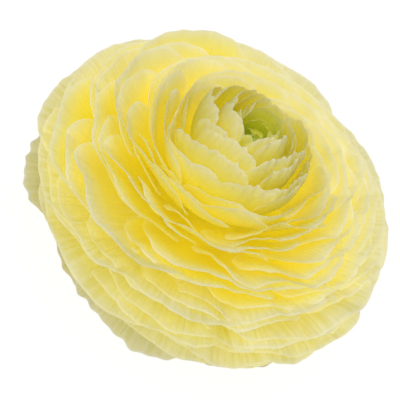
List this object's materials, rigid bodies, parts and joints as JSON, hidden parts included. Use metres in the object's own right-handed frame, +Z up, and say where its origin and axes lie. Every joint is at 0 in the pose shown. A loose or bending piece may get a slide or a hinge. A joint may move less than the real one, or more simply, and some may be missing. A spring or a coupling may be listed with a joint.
{
  "type": "ranunculus flower",
  "caption": "Full double ranunculus flower head in pale yellow, a tight bud in spiralled petals, resting on its drooping guard petals and cut stem stub.",
  "frame": {"origin": "on the resting surface, under the middle of the flower head", "axes": "+Z up along the stem towards the eye of the flower, -Y towards the viewer of the picture, +X to the right"},
  "size_m": [0.0932, 0.0934, 0.0444],
  "materials": {
    "stem": "soft waxy green stem skin with fine lengthwise ribs, pale and moist at the cut",
    "carpels": "small knobbly green carpels, slightly glossy",
    "sepal": "thin matte green sepal with papery pale edges and faint veins",
    "eye_petal": "small yellow-green inner petal, smooth and translucent",
    "bud_petal": "pale yellow petal, silky and translucent, with fine lengthwise veins and a paler crinkled rim",
    "petal": "pale yellow petal, silky and translucent, deeper yellow towards the claw and cream at the wavy rim",
    "guard_petal": "cream-white outer petal, thin and translucent, with fan-like veins and a ruffled rim"
  },
  "bodies": {
    "root": {"stem_and_receptacle": "stem", "carpel_head": "carpels", "sepal_1": "sepal", "sepal_2": "sepal", "sepal_3": "sepal", "sepal_4": "sepal", "sepal_5": "sepal", "bud_petal_01": "eye_petal", "bud_petal_02": "eye_petal", "bud_petal_03": "eye_petal", "bud_petal_04": "bud_petal", "bud_petal_05": "bud_petal", "bud_petal_06": "bud_petal", "bud_petal_07": "bud_petal", "bud_petal_08": "bud_petal", "bud_petal_09": "bud_petal", "bud_petal_10": "bud_petal", "bud_petal_11": "bud_petal", "bud_petal_12": "bud_petal", "bud_petal_13": "bud_petal", "bud_petal_14": "bud_petal", "bud_petal_15": "bud_petal", "petal_01": "petal", "petal_02": "petal", "petal_03": "petal", "petal_04": "petal", "petal_05": "petal", "petal_06": "petal", "petal_07": "petal", "petal_08": "petal", "petal_09": "petal", "petal_10": "petal", "petal_11": "petal", "petal_12": "petal", "petal_13": "petal", "petal_14": "petal", "petal_15": "petal", "petal_16": "petal", "petal_17": "petal", "petal_18": "petal", "petal_19": "petal", "petal_20": "petal", "petal_21": "petal", "petal_22": "petal", "petal_23": "petal", "petal_24": "petal", "petal_25": "petal", "petal_26": "petal", "petal_27": "petal", "petal_28": "petal", "petal_29": "petal", "petal_30": "petal", "guard_petal_01": "guard_petal", "guard_petal_02": "guard_petal", "guard_petal_03": "guard_petal", "guard_petal_04": "guard_petal", "guard_petal_05": "guard_petal", "guard_petal_06": "guard_petal", "guard_petal_07": "guard_petal", "guard_petal_08": "guard_petal"}
  },
  "joints": []
}
